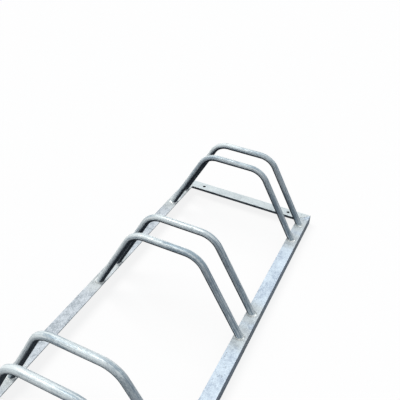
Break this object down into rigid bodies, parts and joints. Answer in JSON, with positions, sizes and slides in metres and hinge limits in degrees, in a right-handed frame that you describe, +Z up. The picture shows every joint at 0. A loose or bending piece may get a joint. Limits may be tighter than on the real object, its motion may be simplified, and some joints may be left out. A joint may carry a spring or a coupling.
{
  "type": "floor bike rack",
  "caption": "Galvanised floor rack for bicycles: paired bent tube hoops on a flat welded angle frame, each pair holding one wheel.",
  "frame": {"origin": "on the floor, at the middle of the rack", "axes": "+X runs along the rails, the wheels roll in from -Y, +Z is up"},
  "size_m": [0.8816, 0.3916, 0.223],
  "materials": {
    "galvanised_angle": "hot-dip galvanised, spangled",
    "galvanised_tube": "hot-dip galvanised, smooth",
    "galvanised_weld": "zinc over weld bead, rough"
  },
  "bodies": {
    "root": {"front_rail": "galvanised_angle", "rear_rail": "galvanised_angle", "left_end_angle": "galvanised_angle", "right_end_angle": "galvanised_angle", "hoop_1_left": "galvanised_tube", "hoop_1_right": "galvanised_tube", "hoop_2_left": "galvanised_tube", "hoop_2_right": "galvanised_tube", "hoop_3_left": "galvanised_tube", "hoop_3_right": "galvanised_tube", "foot_weld_1_left_front": "galvanised_weld", "foot_weld_1_left_rear": "galvanised_weld", "foot_weld_1_right_front": "galvanised_weld", "foot_weld_1_right_rear": "galvanised_weld", "foot_weld_2_left_front": "galvanised_weld", "foot_weld_2_left_rear": "galvanised_weld", "foot_weld_2_right_front": "galvanised_weld", "foot_weld_2_right_rear": "galvanised_weld", "foot_weld_3_left_front": "galvanised_weld", "foot_weld_3_left_rear": "galvanised_weld", "foot_weld_3_right_front": "galvanised_weld", "foot_weld_3_right_rear": "galvanised_weld", "corner_weld_front_left": "galvanised_weld", "corner_weld_front_right": "galvanised_weld", "corner_weld_rear_left": "galvanised_weld", "corner_weld_rear_right": "galvanised_weld"}
  },
  "joints": []
}
